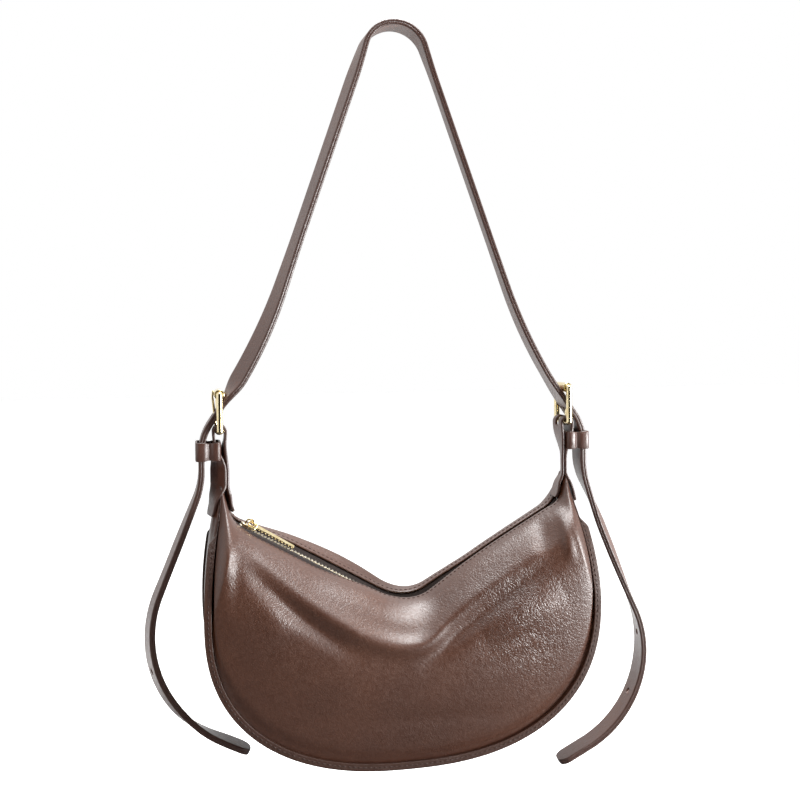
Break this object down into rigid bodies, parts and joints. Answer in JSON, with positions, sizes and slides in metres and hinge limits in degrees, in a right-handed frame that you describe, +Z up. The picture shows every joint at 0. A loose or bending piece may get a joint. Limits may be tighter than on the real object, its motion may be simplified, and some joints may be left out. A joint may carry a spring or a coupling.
{
  "type": "half moon bag",
  "caption": "Crescent shoulder bag of soft brown leather with a sagging top zip, raised seam edges and a long strap that passes through a roller buckle at each end and hangs in loose tails.",
  "frame": {"origin": "middle of the underside of the strap's crown, where a shoulder or hook carries it", "axes": "+Z up, +X along the bag's length to the wearer's right hand side of the front view, +Y from the front panel to the back panel"},
  "size_m": [0.3901, 0.0936, 0.5822],
  "materials": {
    "body_leather": "soft crinkled brown leather with a waxy sheen",
    "strap_leather": "smooth brown leather with darker painted edges",
    "lining_cloth": "plain woven brown lining",
    "zip_tape": "dark brown woven tape",
    "zip_metal": "bright pale gold teeth",
    "gold_metal": "polished pale gold plating"
  },
  "bodies": {
    "strap": {"strap_outer_ply": "strap_leather", "strap_inner_ply": "strap_leather", "left_buckle_frame": "gold_metal", "right_buckle_frame": "gold_metal", "left_keeper": "strap_leather", "right_keeper": "strap_leather"},
    "bag": {"front_panel": "body_leather", "back_panel": "body_leather", "gusset": "body_leather", "front_seam_welt": "body_leather", "back_seam_welt": "body_leather", "front_lining": "lining_cloth", "back_lining": "lining_cloth", "gusset_lining": "lining_cloth", "front_zip_tape": "zip_tape", "back_zip_tape": "zip_tape", "front_zip_teeth": "zip_metal", "back_zip_teeth": "zip_metal", "zip_top_stops": "zip_metal", "zip_bottom_stop": "zip_metal", "left_tab": "strap_leather", "right_tab": "strap_leather"},
    "zip_slider": {"zip_slider": "gold_metal"},
    "zip_pull": {"zip_pull": "gold_metal"},
    "left_roller": {"left_buckle_roller": "gold_metal"},
    "left_prong": {"left_buckle_prong": "gold_metal"},
    "right_roller": {"right_buckle_roller": "gold_metal"},
    "right_prong": {"right_buckle_prong": "gold_metal"}
  },
  "joints": [
    {"name": "left_roller_spin", "type": "hinge", "parent": "strap", "child": "left_roller", "pos_m": [-0.135, 0, -0.27889], "axis": [0, 1, 0], "continuous": true},
    {"name": "left_prong_lift", "type": "hinge", "parent": "strap", "child": "left_prong", "pos_m": [-0.135, 0, -0.30549], "axis": [0, -1, 0], "range_deg": [0, 2.5]},
    {"name": "right_roller_spin", "type": "hinge", "parent": "strap", "child": "right_roller", "pos_m": [0.135, 0, -0.27889], "axis": [0, 1, 0], "continuous": true},
    {"name": "right_prong_lift", "type": "hinge", "parent": "strap", "child": "right_prong", "pos_m": [0.135, 0, -0.30549], "axis": [0, 1, 0], "range_deg": [0, 2.5]},
    {"name": "bag_swing", "type": "hinge", "parent": "strap", "child": "bag", "pos_m": [0, 0, -0.34149], "axis": [1, 0, 0], "range_deg": [-25, 25], "deforming": ["left_tab", "right_tab"]},
    {"name": "zip_slide", "type": "slide", "parent": "bag", "child": "zip_slider", "axis": [0.8725, 0, -0.4886], "range_m": [0, 0.074], "deforming": ["front_zip_teeth", "back_zip_teeth", "front_zip_tape", "back_zip_tape"]},
    {"name": "pull_lift", "type": "hinge", "parent": "zip_slider", "child": "zip_pull", "pos_m": [-0.11309, 0, -0.37569], "axis": [0, -1, 0], "range_deg": [0, 125]}
  ]
}
